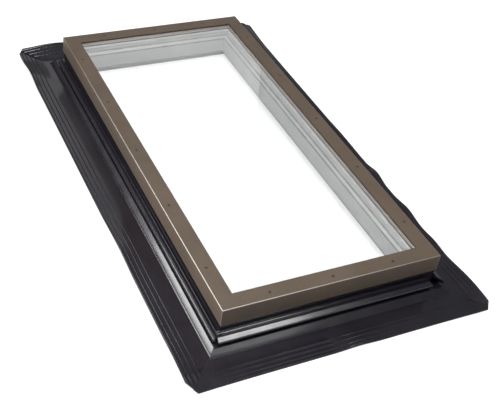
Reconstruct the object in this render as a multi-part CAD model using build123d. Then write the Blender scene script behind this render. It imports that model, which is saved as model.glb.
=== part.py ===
"""Fixed self-flashing roof skylight.

Four retainer cap rails of painted aluminium hold a sealed double glazing unit down on a
white curb frame of hollow plastic profiles. Black flashing members with a beaded moulding
and a broad ribbed apron run round the outside of the curb and weather the roof.

Frame of the model: millimetres, +Z up, origin at the centre of the apron's underside.
The near side is -Y, the right side is +X. In a section, d is measured outward from the
outer face of the cap and z upward from the underside of the apron.
"""
from build123d import *
import os
from math import cos, pi

os.makedirs("parts", exist_ok=True)

# Retainer cap
cap_width = 600.0
cap_length = 1230.0
cap_face = 44.5
cap_plate = 2.0
cap_leg_drop = 50.0
cap_leg_wall = 1.7
cap_lip_drop = 3.2
cap_lip_wall = 1.5
cap_edge_round = 1.5
cap_inner_round = 1.0

# Corner keys inside the cap
key_leg = 40.0
key_height = 14.0
key_gap = 0.3

# Cap screws
screw_inset = 20.0
screw_shank_radius = 2.1
screw_head_radius = 4.0
screw_head_height = 1.9
screw_length = 13.0
screw_gap = 0.25
screw_shank_sides = 12
short_side_screws = 3
long_side_screws = 5
short_side_pitch = 170.0
long_side_pitch = 238.0

# Glazing unit
glass_bite = 13.5
outer_pane_thickness = 3.0
inner_pane_thickness = 3.0
cavity = 10.0
spacer_width = 7.0
gasket_thickness = 2.0
gasket_gap = 0.3
tape_thickness = 2.5
tape_width = 10.5
tape_setback = 1.0
glass_edge_gap = 3.0
block_length = 60.0
block_from_middle_short = 150.0
block_from_middle_long = 380.0

# Curb frame
curb_height = 112.0
curb_wall = 2.8
screw_land = 8.0
nose_reach = 9.5
upper_wall_drop = 11.0
upper_wall_lean = 1.0
step_reach = 18.0
step_drop = 21.5
bottom_reach = 23.0
bead_groove = 1.6
nose_foot = 3.0
rebate_height = 24.0
rebate_depth = 15.5
cross_web_height = 45.0

# Flashing members
leg_gap = 0.3
flash_wall = 2.5
flash_overlap = 30.0
shelf_height = 42.0
shelf_cove = 7.0
fin_reach = 7.5
fin_height = 2.2
fin_width = 2.5
crown_from_fin = 2.9
crown_drop = 2.6
chin_setback = 3.1
chin_drop = 8.0
bead_reach = 21.5
bead_low = 28.0
bead_bulge = 0.35
chin_bulge = 0.9
slot_depth = 9.0
slot_height = 7.0
slope_shoulder = 2.2
slope_bulge = 0.8
foot_reach = 35.5
foot_bead = 3.2
foot_bead_rise = 2.2
foot_groove = 1.2

# Apron
apron_thickness = 3.0
apron_reach = 113.5
near_apron_extra = 2.0
apron_bend = 50.0
rib_rise = 1.0
rib_half_width = 1.1
rib_reaches = (74.0, 87.0, 100.0, 110.0)
coarse_pitch = 60.0
fine_pitch = 34.0

# Outward flare of the apron towards each corner, and the power that sets how late it starts
flare_near_left = 2.5
flare_near_right = 6.0
flare_far_left = 6.5
flare_far_right = 3.0
flare_power = 6
flare_limit = 4.8

# Clipped corners of the apron, as (across, along) from the square corner
clip_near_left = (19.0, 38.0)
clip_near_right = (24.0, 30.0)
clip_far_left = (19.0, 28.0)
clip_far_right = (22.0, 26.0)

# Cut-backs of the upper moulding at each corner, how far its two slanted ends run out for
# each millimetre of reach, and the open mitre of its slope
open_near_left = 3.5
open_near_right = 38.5
open_right_near = 15.5
open_far_left = 21.0
open_far_right = 8.0
slant_near_right = 0.6
slant_right_near = 1.0
slit_near_right = 2.0

# Levels and lines that follow from the sizes above
cap_top = curb_height + cap_plate
upright_out = -(cap_leg_wall + leg_gap)
curb_out = upright_out - flash_wall
glass_edge = -(cap_face - glass_bite)
upstand_in = glass_edge + glass_edge_gap
outer_pane_top = curb_height - gasket_thickness
cavity_top = outer_pane_top - outer_pane_thickness
cavity_bottom = cavity_top - cavity
tape_top = cavity_bottom - inner_pane_thickness
seat = tape_top - tape_thickness
flash_top = cap_top - cap_leg_drop + flash_overlap
near_reach = apron_reach + near_apron_extra


class Wave:
    """One gentle lift of the apron's free edge, rising and falling over its reach."""

    def __init__(self, at, reach, rise):
        self.at = at
        self.reach = reach
        self.rise = rise

    def lift(self, place):
        away = abs(place - self.at) / self.reach
        if away >= 1.0:
            return 0.0
        return self.rise * cos(away * pi / 2) ** 2


class Side:
    """One side of the skylight, modelled as the near side and turned into place."""

    def __init__(self, name, turn, run, span, sign, reach, flares, springs, waves,
                 opens, slants=(0.0, 0.0), slits=(0.0, 0.0), pitch=coarse_pitch):
        self.name = name
        self.turn = turn
        self.half_run = run / 2
        self.offset = span / 2
        self.sign = sign
        self.reach = reach
        self.flares = flares
        self.springs = springs
        self.waves = waves
        self.opens = opens
        self.slants = slants
        self.slits = slits
        self.pitch = pitch

    def lift(self, along):
        """Height of the apron's edge above flat, at a place along the run."""
        share = (along + self.half_run) / (2 * self.half_run)
        share = min(max(share, 0.0), 1.0)
        level = self.springs[0] * (1 - share) + self.springs[1] * share
        return level + sum(wave.lift(along * self.sign) for wave in self.waves)

    def reach_at(self, along):
        """Reach of the apron's edge, which flares out towards the corners."""
        share = min(abs(along) / (self.half_run + self.reach), 1.0)
        flare = self.flares[1] if along > 0 else self.flares[0]
        return self.reach + flare * share ** flare_power

    def plane(self, along=0.0):
        """Section plane: local x is outward from the cap face and local y is up."""
        return Plane(origin=(along, -self.offset, 0), x_dir=(0, -1, 0), z_dir=(-1, 0, 0))

    def mitre(self, inner, outer, low, high, back=0.0):
        """Block between the two mitre planes, drawn in by a cut-back at both ends."""
        outline = Polyline(
            (-(self.half_run + inner - back), -(self.offset + inner)),
            (self.half_run + inner - back, -(self.offset + inner)),
            (self.half_run + outer - back, -(self.offset + outer)),
            (-(self.half_run + outer - back), -(self.offset + outer)),
            close=True,
        )
        return Pos(0, 0, low) * extrude(make_face(outline), amount=high - low)

    def run_of(self, section, inner, outer, low, high):
        """A section run along this side and mitred at both ends."""
        reach = self.half_run + abs(outer) + abs(inner)
        bar = extrude(self.plane() * section, amount=reach, both=True)
        return bar & self.mitre(inner, outer, low, high)

    def place(self, shape):
        return Rot(0, 0, self.turn) * shape


sides = [
    Side("near", 0, cap_width, cap_length, 1, near_reach,
         flares=(flare_near_left, flare_near_right), springs=(0.0, 1.0),
         waves=[Wave(20, 70, 3.0), Wave(400, 120, 2.0)],
         opens=(open_near_left, open_near_right), slants=(0.0, slant_near_right),
         slits=(0.0, slit_near_right)),
    Side("right", 90, cap_length, cap_width, 1, apron_reach,
         flares=(flare_near_right, flare_far_right), springs=(0.0, 2.0),
         waves=[Wave(740, 170, 7.0), Wave(25, 110, 2.0), Wave(-170, 62, 9.5),
                Wave(-338, 72, 8.0), Wave(-474, 62, 4.0), Wave(-640, 130, 9.0)],
         opens=(open_right_near, open_far_right), slants=(slant_right_near, 0.0),
         pitch=fine_pitch),
    Side("far", 180, cap_width, cap_length, -1, apron_reach,
         flares=(flare_far_right, flare_far_left), springs=(9.0, 14.0),
         waves=[Wave(-300, 130, 11.0)],
         opens=(open_far_right, open_far_left)),
    Side("left", 270, cap_length, cap_width, -1, apron_reach,
         flares=(flare_far_left, flare_near_left), springs=(5.0, 2.0),
         waves=[Wave(745, 150, 8.0), Wave(590, 90, 12.0), Wave(-240, 150, 7.0),
                Wave(-640, 110, 3.0)],
         opens=(open_far_left, open_near_left)),
]


def polygon(points):
    """A face from its corner points."""
    return make_face(Polyline(*points, close=True))


def frame_ring(outer, inner, low, high):
    """A rectangular ring between two lines measured from the cap face."""
    big = Box(cap_width + 2 * outer, cap_length + 2 * outer, high - low)
    small = Box(cap_width + 2 * inner, cap_length + 2 * inner, high - low)
    return Pos(0, 0, (low + high) / 2) * (big - small)


def strip(side, outer, inner, low, high):
    """A plain rectangular strip along one side, mitred at its ends."""
    section = polygon([(inner, low), (outer, low), (outer, high), (inner, high)])
    return side.place(side.run_of(section, inner - 1, outer + 1, low - 1, high + 1))


def screw_places(side):
    """Places of the cap screws along one side."""
    if side.name in ("near", "far"):
        count, pitch = short_side_screws, short_side_pitch
    else:
        count, pitch = long_side_screws, long_side_pitch
    return [(i - (count - 1) / 2) * pitch for i in range(count)]


def cap_rail(side):
    """Retainer rail: broad top plate, deep outer leg and a short inner lip."""
    section = polygon([
        (0, cap_top),
        (0, cap_top - cap_leg_drop),
        (-cap_leg_wall, cap_top - cap_leg_drop),
        (-cap_leg_wall, curb_height),
        (-cap_face + cap_lip_wall, curb_height),
        (-cap_face + cap_lip_wall, cap_top - cap_lip_drop),
        (-cap_face, cap_top - cap_lip_drop),
        (-cap_face, cap_top),
    ])
    corners = section.vertices()
    crown = [v for v in corners if abs(v.X) < 1e-6 and abs(v.Y - cap_top) < 1e-6]
    brim = [v for v in corners if abs(v.X + cap_face) < 1e-6 and abs(v.Y - cap_top) < 1e-6]
    section = fillet(crown, cap_edge_round)
    brim = [v for v in section.vertices()
            if abs(v.X + cap_face) < 1e-6 and abs(v.Y - cap_top) < 1e-6]
    section = fillet(brim, cap_inner_round)
    rail = side.run_of(section, -cap_face - 1, 1, cap_top - cap_leg_drop - 1, cap_top + 1)
    for along in screw_places(side):
        spot = Pos(along, -(side.offset - screw_inset), cap_top)
        sink = Cone(screw_shank_radius + screw_gap, screw_head_radius + screw_gap,
                    cap_plate, align=(Align.CENTER, Align.CENTER, Align.MAX))
        rail -= spot * sink
    return side.place(rail)


def screws(side):
    """The cap screws of one side: countersunk heads on plain shanks."""
    head = Cone(screw_shank_radius, screw_head_radius, screw_head_height,
                align=(Align.CENTER, Align.CENTER, Align.MAX))
    shank = extrude(RegularPolygon(screw_shank_radius, screw_shank_sides), amount=-screw_length)
    screw = head + shank
    group = []
    for along in screw_places(side):
        group.append(side.place(Pos(along, -(side.offset - screw_inset), cap_top) * screw))
    return Compound(children=group)


def corner_key(cross, along):
    """Angle key behind the cap legs at one corner."""
    thick = -curb_out - cap_leg_wall - key_gap
    low = curb_height - key_height
    outer_x = cap_width / 2 - cap_leg_wall
    outer_y = cap_length / 2 - cap_leg_wall
    long_leg = Box(thick, key_leg, key_height, align=(Align.MAX, Align.MAX, Align.MIN))
    short_leg = Box(key_leg, thick, key_height, align=(Align.MAX, Align.MAX, Align.MIN))
    key = Pos(outer_x, outer_y, low) * (long_leg + short_leg)
    if cross < 0:
        key = mirror(key, about=Plane.YZ)
    if along < 0:
        key = mirror(key, about=Plane.XZ)
    return key


def curb_section():
    """Outline of the curb profile with its inner nose, steps and grooves."""
    inner = -cap_face
    step_z = seat - step_drop
    wall_end = nose_foot + rebate_height
    g = bead_groove
    upper_z = seat - upper_wall_drop
    upper_d = inner - nose_reach - upper_wall_lean
    outline = polygon([
        (curb_out, 0),
        (curb_out, curb_height),
        (upstand_in, curb_height),
        (upstand_in, seat),
        (inner - nose_reach, seat),
        (upper_d, upper_z),
        (upper_d + g, upper_z - g / 2),
        (upper_d - g, upper_z - g),
        (inner - step_reach, step_z),
        (inner - step_reach + g, step_z - g / 2),
        (inner - step_reach - g / 2, step_z - 1.5 * g),
        (inner - bottom_reach, wall_end),
        (inner - bottom_reach, rebate_height),
        (inner - bottom_reach + rebate_depth, rebate_height),
        (inner - bottom_reach + rebate_depth, 0),
    ])
    hollow = polygon([
        (curb_out - curb_wall, curb_wall),
        (curb_out - curb_wall, curb_height - screw_land),
        (upstand_in + curb_wall, curb_height - screw_land),
        (upstand_in + curb_wall, seat - curb_wall),
        (inner - nose_reach + curb_wall, seat - curb_wall),
        (upper_d + g + curb_wall, upper_z - g),
        (inner - step_reach + g + curb_wall, step_z - g),
        (inner - bottom_reach + curb_wall, wall_end),
        (inner - bottom_reach + rebate_depth + curb_wall, wall_end),
        (inner - bottom_reach + rebate_depth + curb_wall, curb_wall),
    ])
    far_in = inner - bottom_reach
    seat_web = polygon([
        (curb_out, seat), (curb_out, seat - curb_wall),
        (far_in, seat - curb_wall), (far_in, seat),
    ])
    drop_web = polygon([
        (upstand_in + curb_wall, 0), (upstand_in + curb_wall, seat),
        (upstand_in, seat), (upstand_in, 0),
    ])
    cross_web = polygon([
        (curb_out, cross_web_height), (curb_out, cross_web_height - curb_wall),
        (far_in, cross_web_height - curb_wall), (far_in, cross_web_height),
    ])
    return outline - (hollow - seat_web - drop_web - cross_web)


def curb_member(side):
    """Curb frame member, mitred and drilled for the cap screws."""
    inner = -cap_face - bottom_reach
    member = side.run_of(curb_section(), inner - 1, curb_out + 1, -1, curb_height + 1)
    for along in screw_places(side):
        drill = extrude(RegularPolygon(screw_shank_radius + screw_gap, screw_shank_sides),
                        amount=-screw_length)
        member -= Pos(along, -(side.offset - screw_inset), curb_height) * drill
    return side.place(member)


def moulding_section():
    """Hollow moulding: shelf with a fin, round bead, dark slot, slope and foot bead."""
    slot_roof = bead_low - 1.4
    slot_floor = slot_roof - slot_height
    shoulder = bead_reach + slope_shoulder
    inside = bead_reach - slot_depth
    fin_top = shelf_height + fin_height
    cove_top = (upright_out, shelf_height + shelf_cove)
    cove_middle = (upright_out + shelf_cove * (1 - cos(pi / 4)),
                   shelf_height + shelf_cove * (1 - cos(pi / 4)))
    cove_end = (upright_out + shelf_cove, shelf_height)
    fin = [
        cove_end,
        (fin_reach - fin_width + 0.2, fin_top - 0.8),
        (fin_reach - fin_width / 2 - 0.2, fin_top),
        (fin_reach - 0.3, fin_top - 0.8),
        (fin_reach + 0.2, shelf_height - 1.2),
        (fin_reach + 0.9, shelf_height - 2.8),
    ]
    crown = (fin_reach + crown_from_fin, shelf_height - crown_drop)
    chin = (bead_reach - chin_setback, shelf_height - chin_drop)
    skirt = (bead_reach, bead_low)
    cheek = ((crown[0] + chin[0]) / 2 + bead_bulge * 0.56,
             (crown[1] + chin[1]) / 2 + bead_bulge * 0.83)
    turn = ((chin[0] + skirt[0]) / 2 + chin_bulge * 0.89,
            (chin[1] + skirt[1]) / 2 + chin_bulge * 0.46)
    brow = (shoulder, slot_floor - 0.8)
    toe = (foot_reach - foot_bead, apron_thickness + foot_bead_rise)
    belly = ((brow[0] + toe[0]) / 2 + slope_bulge * 0.77,
             (brow[1] + toe[1]) / 2 + slope_bulge * 0.64)
    dip = (foot_reach - foot_bead - foot_groove, apron_thickness + foot_bead_rise - 1.2)
    edge = Polyline((curb_out, 0), (curb_out, cove_top[1]), cove_top)
    edge += ThreePointArc(cove_top, cove_middle, cove_end)
    edge += Polyline(*fin, crown, cheek, chin)
    edge += ThreePointArc(chin, turn, skirt)
    edge += Polyline(
        skirt, (bead_reach - 0.6, slot_roof), (inside, slot_roof), (inside, slot_floor),
        (shoulder - 1, slot_floor), brow, belly,
        toe, dip, (foot_reach - foot_bead + 0.6, apron_thickness + foot_bead_rise),
        (foot_reach - 1.0, apron_thickness + foot_bead_rise - 0.4),
        (foot_reach, apron_thickness), (foot_reach, 0), (curb_out, 0),
    )
    solid = make_face(edge)
    w = flash_wall
    hollow = polygon([
        (upright_out, w),
        (upright_out, shelf_height - 1 - w),
        (fin_reach - w, shelf_height - 3.5 - w),
        (crown[0], shelf_height - 5 - w),
        (crown[0] + 2, shelf_height - 5 - w),
        (bead_reach - w - 1, slot_roof + w),
        (inside - w, slot_roof + w),
        (inside - w, slot_floor - w),
        (shoulder - w, slot_floor - w),
        (foot_reach - foot_bead - foot_groove - w, apron_thickness + 1.5),
        (foot_reach - foot_bead - foot_groove - w, w),
    ])
    return solid - hollow


def apron_section(side, along):
    """Section of the ribbed apron at one place along the run."""
    edge_lift = side.lift(along)
    reach = side.reach_at(along)

    def raised(d):
        return edge_lift * max(0.0, d - apron_bend) / (reach - apron_bend)

    points = [(foot_reach, 0), (apron_bend, 0), (reach, raised(reach))]
    points.append((reach, raised(reach) + apron_thickness))
    for d in reversed(rib_reaches):
        top = raised(d) + apron_thickness
        points.append((d + rib_half_width, raised(d + rib_half_width) + apron_thickness))
        points.append((d, top + rib_rise))
        points.append((d - rib_half_width, raised(d - rib_half_width) + apron_thickness))
    points.append((apron_bend, apron_thickness))
    points.append((foot_reach, apron_thickness))
    return side.plane(along) * polygon(points)


def apron_plan():
    """Block whose outline clips the four corners of the apron."""
    corners = (
        (1, 1, flare_far_right, apron_reach, clip_far_right),
        (-1, 1, flare_far_left, apron_reach, clip_far_left),
        (-1, -1, flare_near_left, near_reach, clip_near_left),
        (1, -1, flare_near_right, near_reach, clip_near_right),
    )
    points = []
    for cross, along, flare, reach, clip in corners:
        x = cap_width / 2 + apron_reach + flare
        y = cap_length / 2 + reach + flare
        pair = [(cross * (x + clip[0]), along * (y - 2 * clip[1])),
                (cross * (x - 2 * clip[0]), along * (y + clip[1]))]
        points += pair if cross == along else pair[::-1]
    block = extrude(polygon(points), amount=curb_height)
    limit = Box(cap_width + 2 * (apron_reach + flare_limit),
                cap_length + 2 * (apron_reach + flare_limit),
                curb_height, align=(Align.CENTER, Align.CENTER, Align.MIN))
    return Pos(0, 0, -1) * (block & limit)


def flashing_member(side, plan):
    """Black flashing member: upright, hollow moulding and wavy ribbed apron."""
    upright = polygon([
        (curb_out, 0), (upright_out, 0), (upright_out, flash_top), (curb_out, flash_top),
    ])
    leg = side.run_of(upright, curb_out - 1, 1, -1, flash_top + 1)
    moulding = side.run_of(moulding_section(), curb_out - 1, foot_reach + 1, -1, flash_top)
    slot_floor = bead_low - 1.4 - slot_height
    tall = flash_top - slot_floor
    depth = foot_reach - upright_out
    for end, cut, slant, slit in zip((-1, 1), side.opens, side.slants, side.slits):
        stop = side.half_run + bead_reach - slot_depth - cut
        gap = polygon([
            (stop, -(side.offset + upright_out)),
            (stop + slant * depth, -(side.offset + foot_reach)),
            (stop + 4 * foot_reach, -(side.offset + foot_reach)),
            (stop + 4 * foot_reach, -(side.offset + upright_out)),
        ])
        gap = Pos(0, 0, slot_floor) * extrude(gap, amount=tall)
        if slit > 0:
            span = foot_reach - bead_reach + slot_depth
            start = bead_reach - slot_depth
            wedge = polygon([
                (side.half_run + start - slit, -(side.offset + start)),
                (side.half_run + start + slit, -(side.offset + start)),
                (side.half_run + start + span + slit, -(side.offset + start + span)),
                (side.half_run + start + span - slit, -(side.offset + start + span)),
            ])
            gap += Pos(0, 0, flash_wall) * extrude(wedge, amount=slot_floor - flash_wall)
        if end < 0:
            gap = mirror(gap, about=Plane.YZ)
        moulding -= gap
    reach = side.half_run + side.reach_at(side.half_run + side.reach)
    count = max(6, round(2 * reach / side.pitch))
    stations = [-reach + 2 * reach * i / count for i in range(count + 1)]
    apron = loft([apron_section(side, along) for along in stations], ruled=True)
    apron = apron & side.mitre(foot_reach - 1, side.reach + max(side.flares) + 1, -1, flash_top)
    member = side.place(leg + moulding + apron)
    return member & plan


def write(name, shape):
    """Write one piece to its own file."""
    export_step(shape, "parts/" + name + ".step")


def build():
    """Model every piece and write it."""
    plan = apron_plan()
    for side in sides:
        write("cap_rail_" + side.name, cap_rail(side))
        write("cap_screws_" + side.name, screws(side))
        write("curb_member_" + side.name, curb_member(side))
        write("flashing_member_" + side.name, flashing_member(side, plan))
        lip = -cap_face + cap_lip_wall + gasket_gap
        write("cap_gasket_" + side.name,
              strip(side, glass_edge, lip, outer_pane_top, curb_height))
        tape_in = -cap_face + tape_setback
        write("glazing_tape_" + side.name,
              strip(side, tape_in + tape_width, tape_in, seat, tape_top))
    for name, cross, along in (("near_left", -1, -1), ("near_right", 1, -1),
                               ("far_right", 1, 1), ("far_left", -1, 1)):
        write("cap_corner_key_" + name, corner_key(cross, along))
    pane_width = cap_width + 2 * glass_edge
    pane_length = cap_length + 2 * glass_edge
    sheet = (Align.CENTER, Align.CENTER, Align.MIN)
    write("outer_pane", Pos(0, 0, cavity_top)
          * Box(pane_width, pane_length, outer_pane_thickness, align=sheet))
    write("inner_pane", Pos(0, 0, tape_top)
          * Box(pane_width, pane_length, inner_pane_thickness, align=sheet))
    spacer_out = -cap_face + spacer_width
    write("spacer_frame", frame_ring(spacer_out, -cap_face, cavity_bottom, cavity_top))
    write("edge_seal", frame_ring(glass_edge, spacer_out, cavity_bottom, cavity_top))
    blocks = []
    block_height = outer_pane_top - seat
    for side in sides:
        if side.name in ("near", "far"):
            middle = block_from_middle_short
        else:
            middle = block_from_middle_long
        for along in (-middle, middle):
            block = Box(block_length, glass_edge_gap, block_height,
                        align=(Align.CENTER, Align.MAX, Align.MIN))
            block = Pos(along, -(side.offset + glass_edge), seat) * block
            blocks.append(side.place(block))
    write("setting_blocks", Compound(children=blocks))


if __name__ == "__main__":
    build()
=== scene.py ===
"""Looks of a fixed, self-flashing roof skylight.

The cap frame, the glazing unit and the curb keep their modelled solids and get their
finishes here. The four black flashing members and the cap screws are modelled again with
their soft roundings, waves and welds. All lengths are in metres; +Z is up and the near
side is -Y.
"""
from __future__ import annotations

import logging
import math
from collections.abc import Callable, Iterator
from contextlib import contextmanager
from dataclasses import dataclass, field
from enum import Enum

import bmesh
import bpy
from mathutils import Matrix, Vector


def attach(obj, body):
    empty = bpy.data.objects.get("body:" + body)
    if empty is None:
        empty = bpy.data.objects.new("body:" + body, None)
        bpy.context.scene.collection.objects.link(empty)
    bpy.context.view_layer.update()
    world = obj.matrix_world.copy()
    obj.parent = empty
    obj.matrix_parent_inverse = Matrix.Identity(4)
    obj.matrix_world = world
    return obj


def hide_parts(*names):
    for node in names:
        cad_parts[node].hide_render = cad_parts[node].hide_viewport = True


LOG = logging.getLogger("skylight")
Colour = tuple[float, float, float]
Point = tuple[float, float]
Socket = bpy.types.NodeSocket
Material = bpy.types.Material
Piece = bpy.types.Object
MM = 0.001
HALF_WIDTH = 0.300
HALF_LENGTH = 0.615
CAP_TOP = 0.114
SAME_POINT = 0.000004

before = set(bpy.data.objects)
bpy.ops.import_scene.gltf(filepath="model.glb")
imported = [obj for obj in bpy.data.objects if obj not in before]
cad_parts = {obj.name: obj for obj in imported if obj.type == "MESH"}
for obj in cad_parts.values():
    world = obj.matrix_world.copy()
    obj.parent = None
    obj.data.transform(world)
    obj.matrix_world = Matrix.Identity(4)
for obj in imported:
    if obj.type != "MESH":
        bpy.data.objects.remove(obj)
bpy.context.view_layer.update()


class Turn(Enum):
    """The four sides of the skylight, with the turn that brings the near side there."""

    NEAR = 0
    RIGHT = 90
    FAR = 180
    LEFT = 270

    @property
    def label(self) -> str:
        """Name used in the pieces' names."""
        return self.name.lower()


# Small helpers on meshes.


def deselect_all() -> None:
    """Leave nothing selected and no edit mode open."""
    if bpy.context.mode != "OBJECT":
        bpy.ops.object.mode_set(mode="OBJECT")
    bpy.ops.object.select_all(action="DESELECT")


def make_active(piece: Piece) -> None:
    """Select one object alone and make it the active one."""
    deselect_all()
    piece.select_set(True)
    bpy.context.view_layer.objects.active = piece


@contextmanager
def edited(piece: Piece) -> Iterator[None]:
    """Open a mesh in edit mode with all of it selected, and close it again.

    Args:
        piece: the mesh object.
    """
    make_active(piece)
    bpy.ops.object.mode_set(mode="EDIT")
    bpy.ops.mesh.select_all(action="SELECT")
    yield
    deselect_all()


def extrude(x: float, y: float, z: float) -> None:
    """Extrude what is selected by one step, in edit mode."""
    bpy.ops.mesh.extrude_region_move(TRANSFORM_OT_translate={"value": (x, y, z)})


def finish_mesh(piece: Piece, angle: float) -> None:
    """Merge doubles, point the faces outwards and smooth the shallow edges.

    Args:
        piece: the mesh object.
        angle: edges up to this many degrees are shaded smooth.
    """
    with edited(piece):
        bpy.ops.mesh.remove_doubles(threshold=SAME_POINT)
        bpy.ops.mesh.normals_make_consistent(inside=False)
    make_active(piece)
    bpy.ops.object.shade_smooth_by_angle(angle=math.radians(angle))
    deselect_all()


def apply_place(piece: Piece) -> None:
    """Move the object's place into its mesh, so that it sits at the origin."""
    make_active(piece)
    bpy.ops.object.transform_apply(location=True, rotation=True, scale=True)
    deselect_all()


def join(name: str, shells: list[Piece]) -> Piece:
    """Join several shells into one named object.

    Args:
        name: the joined object's name.
        shells: the objects to join; the first one stays.

    Returns:
        The joined object.
    """
    deselect_all()
    for shell in shells:
        shell.select_set(True)
    bpy.context.view_layer.objects.active = shells[0]
    bpy.ops.object.join()
    joined = bpy.context.view_layer.objects.active
    joined.name = name
    joined.data.name = name
    deselect_all()
    return joined


def arc(start: Point, end: Point, bulge: float, steps: int) -> list[Point]:
    """Points of a shallow arc between two points, without the ends.

    Args:
        start: first point.
        end: last point.
        bulge: how far the middle stands out to the left of the line.
        steps: number of points between the ends.

    Returns:
        The points in order.
    """
    dx, dz = end[0] - start[0], end[1] - start[1]
    length = math.hypot(dx, dz)
    nx, nz = -dz / length, dx / length
    points = []
    for i in range(1, steps + 1):
        t = i / (steps + 1)
        out = bulge * 4 * t * (1 - t)
        points.append((start[0] + dx * t + nx * out, start[1] + dz * t + nz * out))
    return points


def beside(d: float, z: float, *steps: Point) -> list[Point]:
    """Points given by their steps outward and up from one point."""
    return [(d + out, z + up) for out, up in steps]


# Finishes, one class for each.


class NodeKit:
    """A thin helper that adds and links shader nodes in one material."""

    def __init__(self, name: str) -> None:
        """Start a material with a Principled shader.

        Args:
            name: the material's name.
        """
        self.material = bpy.data.materials.new(name)
        self.material.use_nodes = True
        self.tree = self.material.node_tree
        self.shader = self.tree.nodes["Principled BSDF"]
        self.output = self.tree.nodes["Material Output"]
        self.place = self.add("ShaderNodeTexCoord").outputs["Object"]
        self.axes = self.add("ShaderNodeSeparateXYZ", {0: self.place}).outputs
        self.normal: Socket | None = None

    def add(self, kind: str, inputs: dict[object, object] | None = None,
            **settings: object) -> bpy.types.Node:
        """Add one node, set its properties and feed its inputs.

        Args:
            kind: the node's type name.
            inputs: a socket, a colour, a vector or a number for each input.
            settings: properties to set on it.

        Returns:
            The node.
        """
        node = self.tree.nodes.new(kind)
        for key, value in settings.items():
            setattr(node, key, value)
        for key, value in (inputs or {}).items():
            self.feed(node.inputs[key], value)
        return node

    def feed(self, target: Socket, value: object) -> None:
        """Link a socket to an input, or set the input.

        Args:
            target: the input.
            value: a socket, a colour, a vector or a number.
        """
        if isinstance(value, Socket):
            self.tree.links.new(value, target)
        else:
            target.default_value = (*value, 1.0) if target.type == "RGBA" else value

    def give(self, name: str, value: object) -> None:
        """Feed one input of the shader."""
        self.feed(self.shader.inputs[name], value)

    def noise(self, scale: float, detail: float = 4.0, rough: float = 0.55,
              stretch: tuple[float, float, float] = (1, 1, 1)) -> Socket:
        """Noise on the piece's own coordinates.

        Args:
            scale: cells per metre.
            detail: octaves.
            rough: strength of the finer octaves.
            stretch: scale along X, Y and Z.

        Returns:
            The noise value, 0 to 1.
        """
        spot = self.add("ShaderNodeMapping", {"Vector": self.place, "Scale": stretch})
        return self.add("ShaderNodeTexNoise", {
            "Vector": spot.outputs["Vector"], "Scale": scale, "Detail": detail,
            "Roughness": rough}).outputs["Fac"]

    def span(self, value: Socket, low: float, high: float,
             new_low: float, new_high: float) -> Socket:
        """Map one range of a value onto another, clamped.

        Args:
            value: the value's socket.
            low: start of the range that is read.
            high: end of the range that is read.
            new_low: result at the start.
            new_high: result at the end.

        Returns:
            The mapped value.
        """
        return self.add("ShaderNodeMapRange", {
            "Value": value, "From Min": low, "From Max": high, "To Min": new_low,
            "To Max": new_high}).outputs["Result"]

    def maths(self, operation: str, first: object, second: object = 0.0) -> Socket:
        """One maths node.

        Args:
            operation: its operation.
            first: a socket or a number.
            second: a socket or a number.

        Returns:
            The result.
        """
        node = self.add("ShaderNodeMath", {0: first, 1: second}, operation=operation)
        return node.outputs["Value"]

    def times(self, first: object, second: object) -> Socket:
        """The product of two sockets or numbers."""
        return self.maths("MULTIPLY", first, second)

    def blend(self, factor: Socket, first: object, second: object) -> Socket:
        """Mix two colours.

        Args:
            factor: share of the second colour.
            first: a colour or a socket.
            second: a colour or a socket.

        Returns:
            The mixed colour.
        """
        return self.add("ShaderNodeMix", {0: factor, 6: first, 7: second},
                        data_type="RGBA").outputs[2]

    def axis(self, index: int) -> Socket:
        """The piece's own X, Y or Z in metres."""
        return self.axes[index]

    def near(self, value: Socket, centre: float, reach: float) -> Socket:
        """One at a value and zero beyond its reach.

        Args:
            value: the value's socket.
            centre: where the result is one.
            reach: how far it falls to zero.

        Returns:
            The mask.
        """
        away = self.maths("ABSOLUTE", self.maths("SUBTRACT", value, centre))
        return self.span(away, 0.0, reach, 1.0, 0.0)

    def bump(self, height: Socket, depth: float, strength: float) -> None:
        """Bump from a height, chained on any bump made before.

        Args:
            height: the height's socket.
            depth: metres for a height of one.
            strength: share of the effect.
        """
        inputs = {"Strength": strength, "Distance": depth, "Height": height}
        if self.normal:
            inputs["Normal"] = self.normal
        self.normal = self.add("ShaderNodeBump", inputs).outputs["Normal"]
        self.give("Normal", self.normal)

    def colour(self, value: object) -> None:
        """Set or link the base colour."""
        self.give("Base Color", value)

    def roughness(self, value: object) -> None:
        """Set or link the roughness."""
        self.give("Roughness", value)

    def mottled(self, scale: float, low: float, high: float) -> Socket:
        """A value that wanders between two levels over the piece.

        Args:
            scale: patches per metre.
            low: the lower level.
            high: the upper level.

        Returns:
            The value.
        """
        return self.span(self.noise(scale, 3.0), 0.3, 0.7, low, high)

    def overhangs(self, inset: float = 0.0) -> tuple[Socket, Socket]:
        """Distances outward from the cap's long and short sides, negative inside.

        Args:
            inset: how far inside the cap's outline they start, in metres.

        Returns:
            The distances across X and across Y.
        """
        over_x = self.maths("SUBTRACT", self.maths("ABSOLUTE", self.axis(0)), HALF_WIDTH - inset)
        over_y = self.maths("SUBTRACT", self.maths("ABSOLUTE", self.axis(1)), HALF_LENGTH - inset)
        return over_x, over_y

    def outline_distance(self, inset: float = 0.0) -> Socket:
        """Distance outward from the cap's outline, or from a line inside it."""
        return self.maths("MAXIMUM", *self.overhangs(inset))

    def mitre_distance(self) -> Socket:
        """Distance from the cap's mitre lines, without a sign."""
        return self.maths("ABSOLUTE", self.maths("SUBTRACT", *self.overhangs()))


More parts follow.
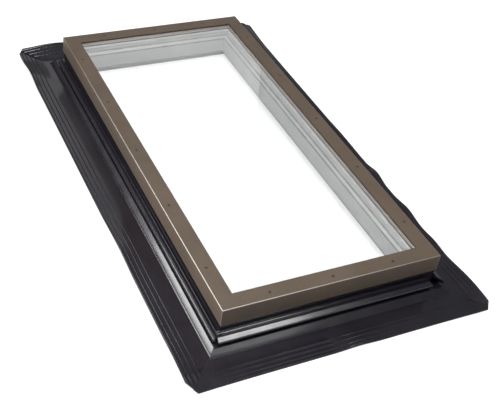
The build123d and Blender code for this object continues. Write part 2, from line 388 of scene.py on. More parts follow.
@dataclass(frozen=True)
class CapPaint:
    """Bronze paint of the cap rails: fine powder grain, a painted highlight along the outer top
    edges and the vertical corners, fading away from the near left corner, and painted shade along
    the inner edge.
    """

    base: Colour = (0.116, 0.082, 0.057)
    shade: Colour = (0.096, 0.069, 0.049)
    speck_and_highlight: Colour = (0.72, 0.66, 0.60)
    edge_shade: Colour = (0.030, 0.022, 0.017)
    face: float = 0.0445
    highlight_inset: float = 0.0003
    highlight_reach: float = 0.0016
    corner_reach: float = 0.0013
    inner_reach: float = 0.0017
    highlight_fade_from: float = -0.40

    def build(self) -> Material:
        """Make the material.

        Returns:
            The material.
        """
        kit = NodeKit("cap_paint")
        cloud = kit.span(kit.noise(9.0, 3.0), 0.35, 0.65, 0.0, 1.0)
        speck = kit.span(kit.noise(900.0, 2.0), 0.30, 0.72, 0.0, 1.0)
        tone = kit.blend(cloud, self.base, self.shade)
        tone = kit.blend(kit.times(speck, 0.05), tone, self.speck_and_highlight)
        side = kit.outline_distance()
        # Painted highlight: a light line along the cap's outer top edge, strongest at the near
        # left corner and fading towards the right and far ends.
        crown = kit.times(kit.near(side, -self.highlight_inset, self.highlight_reach),
                          kit.near(kit.axis(2), CAP_TOP - self.highlight_inset, self.highlight_reach))
        ragged = kit.span(kit.noise(60.0, 3.0), 0.25, 0.6, 1.3, 2.4)
        highlight_fade = kit.times(kit.span(kit.axis(0), -HALF_WIDTH, HALF_WIDTH, 1.0, 0.2),
                            kit.span(kit.axis(1), self.highlight_fade_from, HALF_LENGTH, 1.0, 0.05))
        edge_highlight = kit.times(highlight_fade, kit.span(kit.times(crown, ragged), 0.0, 1.0, 0.0, 0.95))
        tone = kit.blend(edge_highlight, tone, self.speck_and_highlight)
        # Painted highlight: a light line down the vertical corner edges at the mitres.
        upright = kit.times(kit.near(kit.mitre_distance(), 0.0, self.corner_reach),
                            kit.span(side, -2 * self.highlight_inset, 0.0, 0.0, 0.45))
        tone = kit.blend(upright, tone, self.speck_and_highlight)
        inner = kit.near(kit.outline_distance(self.face), 0.0, self.inner_reach)
        kit.colour(kit.blend(kit.times(inner, 0.75), tone, self.edge_shade))
        kit.roughness(kit.mottled(140.0, 0.40, 0.52))
        kit.bump(kit.noise(1500.0, 2.0), 0.00003, 0.6)
        kit.bump(kit.noise(14.0, 2.0), 0.0002, 0.25)
        kit.give("Specular IOR Level", 0.4)
        return kit.material


@dataclass(frozen=True)
class ScrewPaint:
    """Paint of the screw heads, a little darker, with worn patches."""

    base: Colour = (0.060, 0.044, 0.032)
    bright: Colour = (0.26, 0.22, 0.19)

    def build(self) -> Material:
        """Make the material.

        Returns:
            The material.
        """
        kit = NodeKit("screw_paint")
        worn = kit.span(kit.noise(700.0, 4.0), 0.45, 0.75, 0.0, 0.7)
        kit.colour(kit.blend(worn, self.base, self.bright))
        kit.roughness(kit.mottled(500.0, 0.28, 0.5))
        kit.bump(kit.noise(2500.0, 2.0), 0.00002, 0.5)
        kit.give("Metallic", 0.35)
        return kit.material


@dataclass(frozen=True)
class BlackPlastic:
    """Flexible black plastic of the flashing: soft gloss, faint haze, welded mitres."""

    base: Colour = (0.0074, 0.0059, 0.0108)
    haze: Colour = (0.021, 0.018, 0.027)
    weld_reach: float = 0.0045
    weld_wander: float = 0.009
    weld_starts: tuple[float, float] = (0.034, 0.040)

    def streaks(self, kit: NodeKit) -> Socket:
        """Faint lines drawn along each member, as extruding leaves them.

        Args:
            kit: the material being made.

        Returns:
            The height of the lines, 0 to 1.
        """
        long_side = kit.maths("GREATER_THAN", *kit.overhangs())
        along_x = kit.noise(6.0, 3.0, 0.5, (0.4, 22, 22))
        along_y = kit.noise(6.0, 3.0, 0.5, (22, 0.4, 22))
        first = kit.times(along_y, long_side)
        second = kit.times(along_x, kit.maths("SUBTRACT", 1.0, long_side))
        return kit.maths("ADD", first, second)

    def build(self) -> Material:
        """Make the material.

        Returns:
            The material.
        """
        kit = NodeKit("black_plastic")
        cloud = kit.span(kit.noise(7.0, 4.0), 0.40, 0.68, 0.0, 1.0)
        dust_and_groove_shade = kit.span(kit.noise(420.0, 4.0, 0.7), 0.45, 0.80, 0.0, 0.5)
        tone = kit.blend(kit.times(cloud, 0.32), self.base, self.haze)
        tone = kit.blend(kit.times(dust_and_groove_shade, 0.28), tone, self.haze)
        wobble = kit.times(kit.maths("SUBTRACT", kit.noise(45.0, 4.0), 0.5), self.weld_wander)
        weld = kit.near(kit.maths("ADD", kit.mitre_distance(), wobble), 0.0, self.weld_reach)
        outside = kit.span(kit.outline_distance(), *self.weld_starts, 0.0, 1.0)
        weld = kit.times(weld, outside)
        kit.colour(kit.blend(kit.times(weld, 0.5), tone, self.haze))
        kit.roughness(kit.mottled(24.0, 0.20, 0.27))
        kit.bump(weld, 0.0004, 0.35)
        kit.bump(kit.noise(700.0, 3.0), 0.00001, 0.3)
        kit.bump(self.streaks(kit), 0.00010, 0.3)
        kit.give("Specular IOR Level", 0.8)
        kit.give("Coat Weight", 0.5)
        kit.give("Coat Roughness", 0.10)
        return kit.material


@dataclass(frozen=True)
class WhitePlastic:
    """White curb plastic: clean, faintly cloudy, with painted shade along its two grooves and
    hairline welds at its mitres.
    """

    base: Colour = (0.585, 0.582, 0.582)
    shade: Colour = (0.52, 0.52, 0.523)
    weld: Colour = (0.36, 0.36, 0.36)
    dust_and_groove_shade: Colour = (0.13, 0.13, 0.13)
    seam_reach: float = 0.0008
    grooves: tuple[Point, Point] = ((0.0782, 0.0025), (0.0674, 0.0029))

    def build(self) -> Material:
        """Make the material.

        Returns:
            The material.
        """
        kit = NodeKit("white_plastic")
        cloud = kit.span(kit.noise(12.0, 4.0), 0.35, 0.7, 0.0, 1.0)
        tone = kit.blend(cloud, self.base, self.shade)
        seam = kit.near(kit.mitre_distance(), 0.0, self.seam_reach)
        patchy = kit.span(kit.noise(25.0, 3.0), 0.3, 0.6, 0.55, 0.95)
        # Painted shade: patchy dark lines along the two grooves.
        lines = kit.maths("ADD", *(kit.near(kit.axis(2), height, reach)
                                   for height, reach in self.grooves))
        tone = kit.blend(kit.times(lines, patchy), tone, self.dust_and_groove_shade)
        kit.colour(kit.blend(kit.times(seam, 0.7), tone, self.weld))
        kit.roughness(kit.mottled(80.0, 0.30, 0.42))
        kit.bump(seam, 0.0003, 0.6)
        kit.bump(kit.noise(600.0, 2.0), 0.00002, 0.5)
        return kit.material


@dataclass(frozen=True)
class ClearGlass:
    """Clear float glass that lets daylight through to what lies below."""

    name: str
    tint: Colour = (0.985, 0.995, 0.99)
    shadow_share: float = 0.16

    def build(self) -> Material:
        """Make the material.

        Returns:
            The material.
        """
        kit = NodeKit(self.name)
        kit.colour(self.tint)
        kit.roughness(kit.span(kit.noise(3.0, 2.0), 0.3, 0.7, 0.0, 0.006))
        kit.give("IOR", 1.5)
        kit.give("Transmission Weight", 1.0)
        path = kit.add("ShaderNodeLightPath")
        indirect = kit.maths("MAXIMUM", path.outputs["Is Shadow Ray"],
                             path.outputs["Is Diffuse Ray"])
        kit.give("Alpha", kit.span(indirect, 0.0, 1.0, 1.0, self.shadow_share))
        return kit.material


@dataclass(frozen=True)
class SpacerMetal:
    """Warm grey spacer bar with a row of fine breathing holes along its middle."""

    base: Colour = (0.47, 0.43, 0.40)
    brushed: Colour = (0.36, 0.33, 0.31)
    hole: Colour = (0.10, 0.09, 0.08)
    hole_waves: float = 900.0
    hole_reach: float = 0.0009
    middle: float = 0.102

    def build(self) -> Material:
        """Make the material.

        Returns:
            The material.
        """
        kit = NodeKit("spacer_metal")
        along = kit.maths("ADD", kit.axis(0), kit.axis(1))
        beat = kit.maths("ABSOLUTE", kit.maths("SINE", kit.times(along, self.hole_waves)))
        dots = kit.times(kit.span(beat, 0.75, 0.95, 0.0, 1.0),
                         kit.near(kit.axis(2), self.middle, self.hole_reach))
        grain = kit.noise(300.0, 3.0, 0.6, (1, 1, 12))
        tone = kit.blend(kit.span(grain, 0.3, 0.7, 0.0, 0.35), self.base, self.brushed)
        kit.colour(kit.blend(kit.times(dots, 0.8), tone, self.hole))
        kit.roughness(kit.span(grain, 0.3, 0.7, 0.30, 0.48))
        kit.bump(grain, 0.00002, 0.5)
        kit.give("Metallic", 0.5)
        return kit.material


@dataclass(frozen=True)
class BareMetal:
    """Mill finished aluminium of the corner keys."""

    base: Colour = (0.62, 0.62, 0.63)
    drawn: Colour = (0.5, 0.5, 0.51)

    def build(self) -> Material:
        """Make the material.

        Returns:
            The material.
        """
        kit = NodeKit("key_metal")
        grain = kit.noise(500.0, 3.0, 0.6, (1, 1, 20))
        kit.colour(kit.blend(kit.span(grain, 0.3, 0.7, 0.0, 1.0), self.base, self.drawn))
        kit.roughness(kit.span(grain, 0.3, 0.7, 0.32, 0.5))
        kit.bump(grain, 0.00003, 0.5)
        kit.give("Metallic", 0.9)
        return kit.material


@dataclass(frozen=True)
class DarkRubber:
    """Black rubber or sealant with a dull, slightly grainy skin."""

    name: str
    base: Colour = (0.016, 0.016, 0.016)
    worn: Colour = (0.045, 0.044, 0.043)
    dullness: float = 0.7

    def build(self) -> Material:
        """Make the material.

        Returns:
            The material.
        """
        kit = NodeKit(self.name)
        grain = kit.noise(800.0, 4.0, 0.7)
        kit.colour(kit.blend(kit.span(grain, 0.45, 0.8, 0.0, 0.6), self.base, self.worn))
        kit.roughness(kit.span(grain, 0.3, 0.7, self.dullness - 0.1, self.dullness + 0.1))
        kit.bump(grain, 0.00006, 0.6)
        return kit.material


# Sub-assemblies.


def dress(node: str, material: Material) -> None:
    """Give a modelled solid its finish.

    Args:
        node: the solid's name.
        material: the finish.
    """
    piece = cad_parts[node]
    if not piece.material_slots:
        piece.data.materials.append(material)
    for place in piece.material_slots:
        place.material = material
    LOG.info("dressed %s with %s", node, material.name)


@dataclass
class CapFrame:
    """The retainer cap: rails, corner keys, gaskets and its screws."""

    screw_inset: float = 0.020
    head_radius: float = 0.0039
    head_height: float = 0.0019
    shank_radius: float = 0.0020
    screw_length: float = 0.013
    tip_share: float = 0.2
    tip_taper: float = 0.4
    rim: float = 0.00045
    recess_width: float = 0.0024
    recess_depth: float = 0.0012
    recess_taper: float = 0.8
    recess_turn: float = 0.7
    smooth: float = 32.0
    short_pitch: float = 0.170
    long_pitch: float = 0.238

    def dress_solids(self) -> None:
        """Give the rails, keys and gaskets their finishes."""
        paint, metal = CapPaint().build(), BareMetal().build()
        rubber = DarkRubber("black_rubber").build()
        for side in Turn:
            dress(f"cap_rail_{side.label}", paint)
            dress(f"cap_gasket_{side.label}", rubber)
            dress(f"glazing_tape_{side.label}", rubber)
        for corner in ("near_left", "near_right", "far_right", "far_left"):
            dress(f"cap_corner_key_{corner}", metal)

    def one_screw(self) -> Piece:
        """Model one countersunk screw with a square recess, its head top at the origin.

        Returns:
            The screw.
        """
        deselect_all()
        bpy.ops.mesh.primitive_cylinder_add(vertices=32, radius=self.head_radius,
                                            depth=self.head_height,
                                            location=(0, 0, -self.head_height / 2))
        screw = bpy.context.object
        apply_place(screw)
        factor = self.shank_radius / self.head_radius
        shank = self.screw_length - self.head_height
        with edited(screw):
            self.pick(screw, lambda c: c.z < -self.head_height * 0.9)
            bpy.ops.transform.resize(value=(factor, factor, 1))
            extrude(0, 0, -shank * (1 - self.tip_share))
            extrude(0, 0, -shank * self.tip_share)
            bpy.ops.transform.resize(value=(self.tip_taper, self.tip_taper, 1))
            self.pick(screw, lambda c: c.z > -0.00001)
            bpy.ops.mesh.inset(thickness=self.rim, depth=0.0)
            self.pick(screw, lambda c: c.z > -0.00001 and c.xy.length < 0.0001)
            bpy.ops.mesh.inset(thickness=self.head_radius - self.rim - self.recess_width * 0.62,
                               depth=0.0)
            extrude(0, 0, -self.recess_depth)
            bpy.ops.transform.resize(value=(self.recess_taper, self.recess_taper, 1))
        finish_mesh(screw, self.smooth)
        return screw

    @staticmethod
    def pick(piece: Piece, test: Callable[[Vector], bool]) -> None:
        """Select the faces whose centre passes a test, in edit mode.

        Args:
            piece: the object, open in edit mode.
            test: says of a face's centre whether the face is wanted.
        """
        bpy.ops.mesh.select_mode(type="FACE")
        bpy.ops.mesh.select_all(action="DESELECT")
        body = bmesh.from_edit_mesh(piece.data)
        for face in body.faces:
            if test(face.calc_center_median()):
                face.select_set(True)
        bmesh.update_edit_mesh(piece.data)

    def places(self, side: Turn) -> list[Vector]:
        """Where the screws of one side sit, as if it were the near side.

        Args:
            side: the side.

        Returns:
            The tops of the screws.
        """
        short = side in (Turn.NEAR, Turn.FAR)
        count, pitch = (3, self.short_pitch) if short else (5, self.long_pitch)
        inward = self.screw_inset - (HALF_LENGTH if short else HALF_WIDTH)
        return [Vector(((i - (count - 1) / 2) * pitch, inward, CAP_TOP)) for i in range(count)]

    def screws(self) -> None:
        """Copy the screw to all its places and stand for the plain solids."""
        paint = ScrewPaint().build()
        master = self.one_screw()
        for side in Turn:
            copies = []
            for number, spot in enumerate(self.places(side)):
                copy = master.copy()
                copy.data = master.data.copy()
                bpy.context.collection.objects.link(copy)
                twist = Matrix.Rotation(self.recess_turn * number + side.value, 4, "Z")
                turn = Matrix.Rotation(math.radians(side.value), 4, "Z")
                copy.matrix_world = turn @ Matrix.Translation(spot) @ twist
                apply_place(copy)
                copies.append(copy)
            group = join(f"cap_screw_heads_{side.label}", copies)
            group.data.materials.clear()
            group.data.materials.append(paint)
            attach(group, "root")
            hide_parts(f"cap_screws_{side.label}")
            LOG.info("made %s with %d screws", group.name, len(copies))
        bpy.data.objects.remove(master)


@dataclass
class GlazingUnit:
    """The sealed double glazing unit and what it sits on."""

    def dress_solids(self) -> None:
        """Give the panes, spacer, seal and blocks their finishes."""
        dress("outer_pane", ClearGlass("outer_glass").build())
        dress("inner_pane", ClearGlass("inner_glass").build())
        dress("spacer_frame", SpacerMetal().build())
        dress("edge_seal", DarkRubber("edge_sealant", dullness=0.5).build())
        dress("setting_blocks", DarkRubber("block_rubber").build())


@dataclass
class CurbFrame:
    """The white curb members under the glass."""

    def dress_solids(self) -> None:
        """Give the four members their finish."""
        plastic = WhitePlastic().build()
        for side in Turn:
            dress(f"curb_member_{side.label}", plastic)


@dataclass(frozen=True)
class Wave:
    """One soft lift of the apron's free edge, in millimetres along the side."""

    at: float
    reach: float
    rise: float

    def lift(self, place: float) -> float:
        """Height at a place along the side, a soft hump."""
        away = abs(place - self.at) / self.reach
        return self.rise * math.cos(away * math.pi / 2) ** 2 if away < 1 else 0.0


@dataclass
class FlashingMember:
    """One black flashing member, modelled as the near side and turned into place.

    Sizes are in millimetres: d outward from the cap, z up from the apron's underside. A pair
    holds the values of the run's start and end. The fin stands on the shelf beside the cap,
    the bead curves from its crest over its chin to its lip, the slot lies under the lip, and
    the slope leads from the slot's floor down to the foot on the apron.
    """

    side: Turn
    half_run: float
    offset: float
    reach: float
    flares: tuple[float, float]
    springs: tuple[float, float]
    waves: list[Wave]
    opens: tuple[float, float]
    slants: tuple[float, float] = (0.0, 0.0)
    sign: int = 1
    slit: float = 0.0
    rib_ends: tuple[float, float] = (200.0, 200.0)
    rib_fade: float = 60.0
    clips: list[tuple[Point, Point]] = field(default_factory=list)
    upright_in: float = -4.5
    upright_out: float = -2.0
    upright_top: float = 94.0
    wall: float = 2.5
    shelf: float = 42.0
    cove: float = 1.5
    tuck: tuple[float, float] = (0.0, 0.0)
    fin_reach: float = 3.4
    fin_rise: float = 4.1
    crest: float = 8.4
    crest_drop: float = 1.4
    chin: Point = (18.4, 34.0)
    bead_bulge: float = 0.1
    bead_start: float = 12.5
    bead_reach: float = 21.5
    bead_low: float = 28.0
    lip: float = 1.4
    slot_depth: float = 9.0
    slot_height: float = 7.0
    slope_start: float = 2.2
    slope_root: float = 6.0
    foot: float = 35.5
    soft_foot: bool = False
    thickness: float = 3.0
    bend: float = 50.0
    rib_rise: float = 1.2
    rib_half: float = 1.6
    ribs: tuple[float, ...] = (74.0, 87.0, 100.0, 110.0)
    limit: float = 118.2
    flare_power: int = 6
    pitch: float = 8.0
    steps: int = 24
    slant_spare: float = 40.0
    smooth: float = 30.0

    @property
    def slot(self) -> tuple[float, float, float]:
        """The slot's roof and floor heights, and the reach of its inner wall."""
        roof = self.bead_low - self.lip
        return roof, roof - self.slot_height, self.bead_reach - self.slot_depth

    def lift(self, along: float) -> float:
        """Lift of the free edge at a place along the run.

        Args:
            along: the place.

        Returns:
            The lift.
        """
        share = min(max((along + self.half_run) / (2 * self.half_run), 0.0), 1.0)
        level = self.springs[0] * (1 - share) + self.springs[1] * share
        return level + sum(wave.lift(along * self.sign) for wave in self.waves)

    def edge(self, along: float) -> float:
        """Reach of the free edge at a place along the run.

        Args:
            along: the place.

        Returns:
            The reach, which never passes the limit.
        """
        share = min(abs(along) / (self.half_run + self.reach), 1.0)
        flare = self.flares[1] if along > 0 else self.flares[0]
        return min(self.reach + flare * share ** self.flare_power, self.limit)

    def ring(self, name: str, points: list[Point], along: float) -> Piece:
        """Start a shell: a closed ring of edges in the section plane.

        Args:
            name: the shell's name.
            points: section points as (d, z).
            along: place of the ring along the run.

        Returns:
            The ring.
        """
        deselect_all()
        bpy.ops.mesh.primitive_circle_add(vertices=len(points), radius=0.01)
        shell = bpy.context.object
        shell.name = name
        for vertex, (d, z) in zip(shell.data.vertices, points):
            vertex.co = Vector((along, -(self.offset + d), z)) * MM
        return shell

    def run(self, shell: Piece, length: float, steps: int) -> None:
        """Extrude the ring along the run and close both ends.

        Args:
            shell: the ring.
            length: length of the run.
            steps: number of equal steps.
        """
        with edited(shell):
            bpy.ops.mesh.edge_face_add()
            bpy.ops.mesh.select_all(action="SELECT")
            for _ in range(steps):
                extrude(length / steps * MM, 0, 0)

    def cut(self, shell: Piece, place: Vector, normal: Vector) -> None:
        """Cut away what lies on the normal's side of a plane and close the cut.

        Args:
            shell: the closed shell.
            place: a point of the plane, in metres.
            normal: points to the side that goes.
        """
        with edited(shell):
            bpy.ops.mesh.bisect(plane_co=place, plane_no=normal, use_fill=True, clear_outer=True)

    def mitre(self, shell: Piece, back: tuple[float, float] = (0.0, 0.0)) -> None:
        """Cut both ends on the mitre planes.

        Args:
            shell: the closed shell.
            back: how far each end is drawn back.
        """
        for end, gap in zip((-1, 1), back):
            corner = Vector((end * (self.half_run - gap), -self.offset, 0)) * MM
            self.cut(shell, corner, Vector((end, 1, 0)).normalized())

    def draw_in(self, shell: Piece) -> None:
        """Draw the moulding in towards the cap, least at its ends.

        Args:
            shell: the moulding's shell.
        """
        for vertex in shell.data.vertices:
            share = min(abs(vertex.co.x / MM) / self.half_run, 1.0)
            vertex.co.y += (self.tuck[0] + self.tuck[1] * (1 - share * share)) * MM

    def base_section(self, along: float) -> list[Point]:
        """Section of the upright, the bottom web and the ribbed apron.

        Args:
            along: the place along the run.

        Returns:
            The ring of points, under side first.
        """
        edge, lift = self.edge(along), self.lift(along)
        end = self.half_run + self.rib_ends[1 if along > 0 else 0]
        rise = self.rib_rise * min(max((end - abs(along)) / self.rib_fade, 0.0), 1.0)

        def raised(d: float) -> float:
            """Height of the underside at a reach."""
            return lift * (max(0.0, d - self.bend) / (edge - self.bend))

        before, after = self.bend - 8, self.bend + 8
        turn, thick, back = 0.15 * raised(after), self.thickness, self.upright_out
        under = [(self.upright_in, 0.0), (self.foot, 0.0), (before, 0.0), (self.bend, turn)]
        under += [(d, raised(d)) for d in (after, 70.0, 84.0, 98.0)]
        under += [(edge - 0.6, raised(edge)), (edge, raised(edge) + 0.6)]
        top = [(edge, raised(edge) + thick - 0.8), (edge - 0.8, raised(edge) + thick)]
        for d in reversed(self.ribs):
            for step, height in ((1.0, 0.0), (0.55, 0.62), (0.0, 1.0), (-0.55, 0.62), (-1.0, 0.0)):
                at = d + step * self.rib_half
                top.append((at, raised(at) + thick + height * rise))
        top += [(after, raised(after) + thick), (self.bend, turn + thick), (before, thick),
                (self.foot - 2, thick), (back + 1.2, thick), (back, thick + 1.2),
                (back, self.upright_top - 0.5), (back - 0.5, self.upright_top),
                (self.upright_in, self.upright_top)]
        return under + top

    def base(self) -> Piece:
        """Upright, bottom web and apron as one shell that waves along its edge.

        Returns:
            The shell.
        """
        end = self.half_run + self.reach + 12
        steps = max(8, round(2 * end / self.pitch))
        first = self.base_section(-end)
        shell = self.ring("base", first, -end)
        self.run(shell, 2 * end, steps)
        for vertex in shell.data.vertices:
            d, z = -vertex.co.y / MM - self.offset, vertex.co.z / MM
            place = min(range(len(first)),
                        key=lambda i: (first[i][0] - d) ** 2 + (first[i][1] - z) ** 2)
            along = vertex.co.x / MM
            d, z = self.base_section(along)[place]
            vertex.co = Vector((along, -(self.offset + d), z)) * MM
        self.mitre(shell)
        for (x1, y1), (x2, y2) in self.clips:
            tangent = Vector((x2 - x1, y2 - y1, 0))
            normal = Vector((tangent.y, -tangent.x, 0)).normalized()
            middle = Vector(((x1 + x2) / 2, (y1 + y2) / 2, 0))
            if normal.dot(middle) < 0:
                normal = -normal
            self.cut(shell, middle * MM, normal)
        return shell

    def bead(self) -> Piece:
        """Shelf, fin, round bead and the slot's inner wall, cut back at both ends.

        Returns:
            The shell.
        """
        roof, floor, inside = self.slot
        fin, cove, w = self.fin_reach, self.cove, self.wall
        back, shelf = self.upright_out, self.shelf
        ridge = shelf - self.crest_drop
        crown = (self.crest, ridge)
        outer = beside(back, shelf + cove, (-1, 1), (0, 0))
        outer += [(back + cove * (1 - math.cos(turn)), shelf + cove * (1 - math.sin(turn)))
                  for turn in (0.26, 0.52, 0.79, 1.05, 1.31)]
        outer.append((fin - 2.5, shelf))
        outer += beside(fin, shelf + self.fin_rise, (-2.3, -0.5), (-2.0, 0), (-1.1, -0.7))
        outer.append((fin - 1.0, ridge - 0.8))
        outer += beside(*crown, (-1.4, -1.0), (-0.8, -0.3), (0, 0))
        outer += arc(crown, self.chin, self.bead_bulge, 4) + [self.chin]
        outer += beside(self.bead_reach, shelf, (-1.2, -9.9), (-0.6, -10.9), (-0.1, -12.6))
        outer.append((self.bead_reach, self.bead_low))
        outer += beside(self.bead_reach, roof, (-0.15, 0.5), (-0.7, 0))
        outer += beside(inside, roof, (0.6, 0), (0, -0.6)) + [(inside, floor - 1)]
        inner = [(inside - w, floor - 1), (inside - w, roof + w),
                 (self.bead_reach - w - 1.5, roof + w), (self.bead_start, shelf - 5 - w),
                 (fin, shelf - 3.5 - w), (back - 1, shelf - 1 - w)]
        stops = [self.half_run + inside - cut for cut in self.opens]
        ends = [stop + self.slant_spare * slant for stop, slant in zip(stops, self.slants)]
        shell = self.ring("bead", outer + inner, -ends[0])
        self.run(shell, ends[0] + ends[1], self.steps)
        self.draw_in(shell)
        for way, stop, slant in zip((-1, 1), stops, self.slants):
            if slant > 0:
                corner = Vector((way * stop, -(self.offset + back), 0)) * MM
                self.cut(shell, corner, Vector((way, slant, 0)).normalized())
        return shell

    def slope(self) -> Piece:
        """Slot floor, shoulder, sloped face and foot bead, mitred at both ends.

        Returns:
            The shell.
        """
        _, floor, inside = self.slot
        shoulder, root = self.bead_reach + self.slope_start, self.upright_out + self.slope_root
        foot, thick, w = self.foot, self.thickness, self.wall
        outer = [(root, floor), (inside, floor)]
        if self.soft_foot:
            brow, toe = (shoulder + 1.4, floor), (foot + 2.8, thick + 0.05)
            outer += [brow] + arc(brow, toe, -0.5, 6) + [toe, (toe[0], thick - 0.4)]
        else:
            brow, toe = (shoulder - 0.9, floor - 1.4), (foot - 3.6, thick + 2.2)
            outer += beside(shoulder, floor, (-4.2, 0), (-2.7, -0.2), (-1.6, -0.6))
            outer += [brow] + arc(brow, toe, 0.12, 4) + [toe]
            outer += beside(foot, thick, (-3.9, 1.3), (-3.4, 1.2), (-3.1, 2.2), (-2.6, 2.7),
                            (-2.0, 2.5), (-0.3, 0.2), (0, -0.4))
        inner = beside(foot - 7.4, thick, (0, -0.4), (0, 1.5))
        inner += [(shoulder - w - 1, floor - w), (root, floor - w)]
        end = self.half_run + foot + 10
        shell = self.ring("slope", outer + inner, -end)
        self.run(shell, 2 * end, self.steps)
        self.draw_in(shell)
        self.mitre(shell, (0.0, self.slit))
        return shell

    def build(self, material: Material) -> None:
        """Model the member, turn it into place and let it stand for its plain solid.

        Args:
            material: the finish.
        """
        member = join(f"flashing_{self.side.label}", [self.base(), self.bead(), self.slope()])
        member.matrix_world = Matrix.Rotation(math.radians(self.side.value), 4, "Z")
        apply_place(member)
        finish_mesh(member, self.smooth)
        member.data.materials.clear()
        member.data.materials.append(material)
        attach(member, "root")
        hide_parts(f"flashing_member_{self.side.label}")
        LOG.info("made %s with %d faces", member.name, len(member.data.polygons))


@dataclass
class Flashing:
    """The black flashing round the curb: four members and their clipped corners."""

    width: float = 600.0
    length: float = 1230.0
    reach: float = 113.5
    near_extra: float = 2.0
    open_near_left: float = 3.5
    open_near_right: float = 38.5
    open_right_near: float = 15.5
    open_far_left: float = 21.0
    open_far_right: float = 8.0
    slant_near_right: float = 0.6
    slant_right_near: float = 1.0
    slit_near_right: float = 3.0
    flare_near_left: float = 2.5
    flare_near_right: float = 6.0
    flare_far_left: float = 6.5
    flare_far_right: float = 3.0

    def clip(self, cross: int, along: int, flare: float, reach: float,
             size: Point) -> tuple[Point, Point]:
        """The two ends of one corner's clip, seen from above.

        Args:
            cross: the corner's side across, -1 or 1.
            along: the corner's side along, -1 or 1.
            flare: how far the corner flares.
            reach: reach of the short side's apron.
            size: how far the clip runs across and along.

        Returns:
            The end on the long side and the end on the short side.
        """
        x = self.width / 2 + self.reach + flare
        y = self.length / 2 + reach + flare
        return (cross * x, along * (y - size[1])), (cross * (x - size[0]), along * y)

    def turned(self, side: Turn, clip: tuple[Point, Point]) -> tuple[Point, Point]:
        """A clip as the member sees it before it is turned into place.

        Args:
            side: the member's side.
            clip: the clip's two ends.

        Returns:
            The ends, turned back.
        """
        back = Matrix.Rotation(math.radians(-side.value), 4, "Z")
        first, last = (back @ Vector((x, y, 0)) for x, y in clip)
        return (first.x, first.y), (last.x, last.y)

    def build(self) -> None:
        """Model and dress the four members."""
        near_reach = self.reach + self.near_extra
        clips = [
            self.clip(-1, -1, self.flare_near_left, near_reach, (19.0, 38.0)),
            self.clip(1, -1, self.flare_near_right, near_reach, (24.0, 30.0)),
            self.clip(-1, 1, self.flare_far_left, self.reach, (19.0, 28.0)),
            self.clip(1, 1, self.flare_far_right, self.reach, (22.0, 26.0)),
        ]
        short, long = self.width / 2, self.length / 2
        members = [
            FlashingMember(Turn.NEAR, short, long, near_reach,
                           (self.flare_near_left, self.flare_near_right), (0.0, 1.0),
                           [Wave(20, 70, 3.0), Wave(400, 120, 2.0)],
                           (self.open_near_left, self.open_near_right),
                           (0.0, self.slant_near_right), slit=self.slit_near_right,
                           rib_ends=(55.0, 700.0), rib_fade=560.0, soft_foot=True,
                           fin_reach=7.0, fin_rise=3.5, crest=12.0, crest_drop=2.8,
                           chin=(20.0, 32.3)),
            FlashingMember(Turn.RIGHT, long, short, self.reach,
                           (self.flare_near_right, self.flare_far_right), (0.0, 2.0),
                           [Wave(740, 170, 7.0), Wave(25, 110, 2.0), Wave(-170, 62, 9.5),
                            Wave(-338, 72, 8.0), Wave(-474, 62, 4.0), Wave(-640, 130, 9.0)],
                           (self.open_right_near, self.open_far_right),
                           (self.slant_right_near, 0.0),
                           chin=(18.4, 36.8), bead_bulge=0.0),
            FlashingMember(Turn.FAR, short, long, self.reach,
                           (self.flare_far_right, self.flare_far_left), (9.0, 14.0),
                           [Wave(-300, 130, 11.0)],
                           (self.open_far_right, self.open_far_left), sign=-1),
            FlashingMember(Turn.LEFT, long, short, self.reach,
                           (self.flare_far_left, self.flare_near_left), (5.0, 2.0),
                           [Wave(745, 150, 8.0), Wave(590, 90, 12.0), Wave(-240, 150, 7.0),
                            Wave(-640, 110, 3.0)],
                           (self.open_far_left, self.open_near_left), sign=-1,
                           rib_ends=(200.0, 100.0), tuck=(2.2, 2.4),
                           fin_reach=12.5, crest=15.7, crest_drop=4.0, chin=(20.0, 33.7)),
        ]
        plastic = BlackPlastic().build()
        for member in members:
            member.clips = [self.turned(member.side, clip) for clip in clips]
            member.build(plastic)


# Studio.


@dataclass(frozen=True)
class PhotoCamera:
    """Camera at the photograph's angle. Angles in degrees, lengths in metres."""

    azimuth: float = -28.9043
    elevation: float = 39.8941
    roll: float = 7.8403
    distance: float = 2.34566
    target: tuple[float, float, float] = (-0.1647, -0.2670, 0.114)
    sensor: float = 36.0
    lens: float = 66.069
    shift_x: float = 0.07

    def build(self) -> None:
        """Make the camera and set it as the scene's."""
        a, e, r = (math.radians(v) for v in (self.azimuth, self.elevation, self.roll))
        back = Vector((math.sin(a) * math.cos(e), -math.cos(a) * math.cos(e), math.sin(e)))
        right = (-back).cross(Vector((0, 0, 1))).normalized()
        up = right.cross(-back)
        turned_right = right * math.cos(r) + up * math.sin(r)
        turned_up = up * math.cos(r) - right * math.sin(r)
        data = bpy.data.cameras.new("photo_camera")
        data.sensor_width, data.lens = self.sensor, self.lens
        data.shift_x = self.shift_x
        data.clip_start, data.clip_end = 0.05, 60.0
        camera = bpy.data.objects.new("photo_camera", data)
        bpy.context.collection.objects.link(camera)
        pose = Matrix((turned_right, turned_up, back)).transposed().to_4x4()
        pose.translation = Vector(self.target) + back * self.distance
        camera.matrix_world = pose
        bpy.context.scene.camera = camera


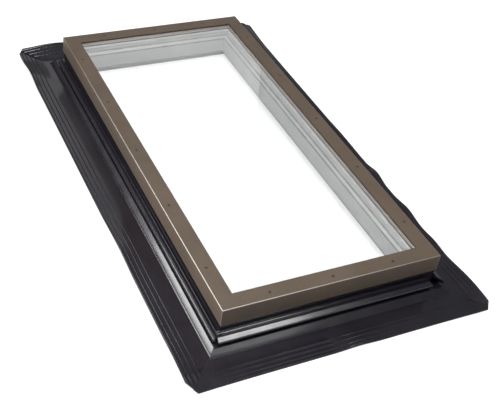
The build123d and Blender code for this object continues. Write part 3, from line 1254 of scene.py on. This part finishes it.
@dataclass(frozen=True)
class Softbox:
    """One soft lamp: a rectangle that looks at a point."""

    name: str
    place: tuple[float, float, float]
    look_at: tuple[float, float, float]
    size: tuple[float, float]
    power: float

    def build(self) -> None:
        """Make the lamp."""
        data = bpy.data.lights.new(self.name, "AREA")
        data.shape = "RECTANGLE"
        data.size, data.size_y = self.size
        data.energy = self.power
        lamp = bpy.data.objects.new(self.name, data)
        bpy.context.collection.objects.link(lamp)
        lamp.location = self.place
        way = Vector(self.look_at) - Vector(self.place)
        lamp.rotation_mode = "QUATERNION"
        lamp.rotation_quaternion = way.to_track_quat("-Z", "Y")


@dataclass(frozen=True)
class Studio:
    """Pale floor, pale surroundings and soft lamps."""

    world_level: float = 0.15
    floor_size: float = 40.0
    floor_colour: Colour = (0.42, 0.42, 0.42)
    floor_glow: float = 0.82

    def world(self) -> None:
        """An even pale sky."""
        world = bpy.data.worlds.new("pale_surroundings")
        bpy.context.scene.world = world
        world.use_nodes = True
        sky = world.node_tree.nodes["Background"]
        sky.inputs["Color"].default_value = (1.0, 1.0, 1.0, 1.0)
        sky.inputs["Strength"].default_value = self.world_level

    def floor(self) -> None:
        """A plain pale floor that keeps the object's shadow."""
        deselect_all()
        bpy.ops.mesh.primitive_plane_add(size=self.floor_size, location=(0, 0, -0.0003))
        floor = bpy.context.object
        floor.name = "floor"
        kit = NodeKit("pale_floor")
        kit.colour(self.floor_colour)
        kit.roughness(0.9)
        kit.give("Specular IOR Level", 0.1)
        path = kit.add("ShaderNodeLightPath")
        seen = kit.maths("MAXIMUM", path.outputs["Is Camera Ray"],
                         kit.maths("MAXIMUM", path.outputs["Is Glossy Ray"],
                                   path.outputs["Is Transmission Ray"]))
        glow = kit.add("ShaderNodeEmission",
                       {"Strength": kit.times(seen, self.floor_glow)})
        both = kit.add("ShaderNodeAddShader", {0: kit.shader.outputs["BSDF"],
                                               1: glow.outputs["Emission"]})
        kit.feed(kit.output.inputs["Surface"], both.outputs["Shader"])
        floor.data.materials.append(kit.material)

    def lamps(self) -> None:
        """Soft lamps: a broad one overhead, and small ones that draw the mouldings' lines."""
        for lamp in (
            Softbox("overhead", (-0.3, -0.2, 4.0), (-0.1, 0.0, 0.1), (1.8, 1.8), 132.0),
            Softbox("left_panel", (-3.0, 1.4, 0.55), (-0.3, 0.0, 0.02), (1.2, 0.85), 24.0),
            Softbox("left_fill", (-1.3, -0.5, 0.45), (-0.3, -0.5, 0.08), (0.3, 0.3), 7.5),
            Softbox("left_top", (-1.75, 1.25, 1.3), (-0.33, -0.4, 0.04), (0.9, 0.4), 2.8),
            Softbox("front_panel", (0.46, -1.8, 1.36), (-0.2, -0.63, 0.04), (0.45, 0.5), 6.4),
            Softbox("front_low", (0.65, -2.8, 0.8), (-0.2, -0.64, 0.02), (0.6, 0.6), 2.0),
            Softbox("far_panel", (1.2, 4.0, 2.7), (-0.4, 0.6, 0.0), (2.2, 1.4), 4.2),
            Softbox("right_panel", (2.5, 1.3, 0.76), (0.41, -0.7, 0.0), (0.5, 0.5), 0.5),
        ):
            lamp.build()

    def build(self) -> None:
        """Make the whole studio."""
        bpy.context.scene.view_settings.view_transform = "Standard"
        self.world()
        self.floor()
        self.lamps()


def main() -> None:
    """Dress and model every sub-assembly, then set up the studio and the camera."""
    logging.basicConfig(level=logging.INFO, format="%(name)s: %(message)s")
    cap = CapFrame()
    cap.dress_solids()
    cap.screws()
    GlazingUnit().dress_solids()
    CurbFrame().dress_solids()
    Flashing().build()
    Studio().build()
    PhotoCamera().build()


if __name__ == "__main__":
    main()
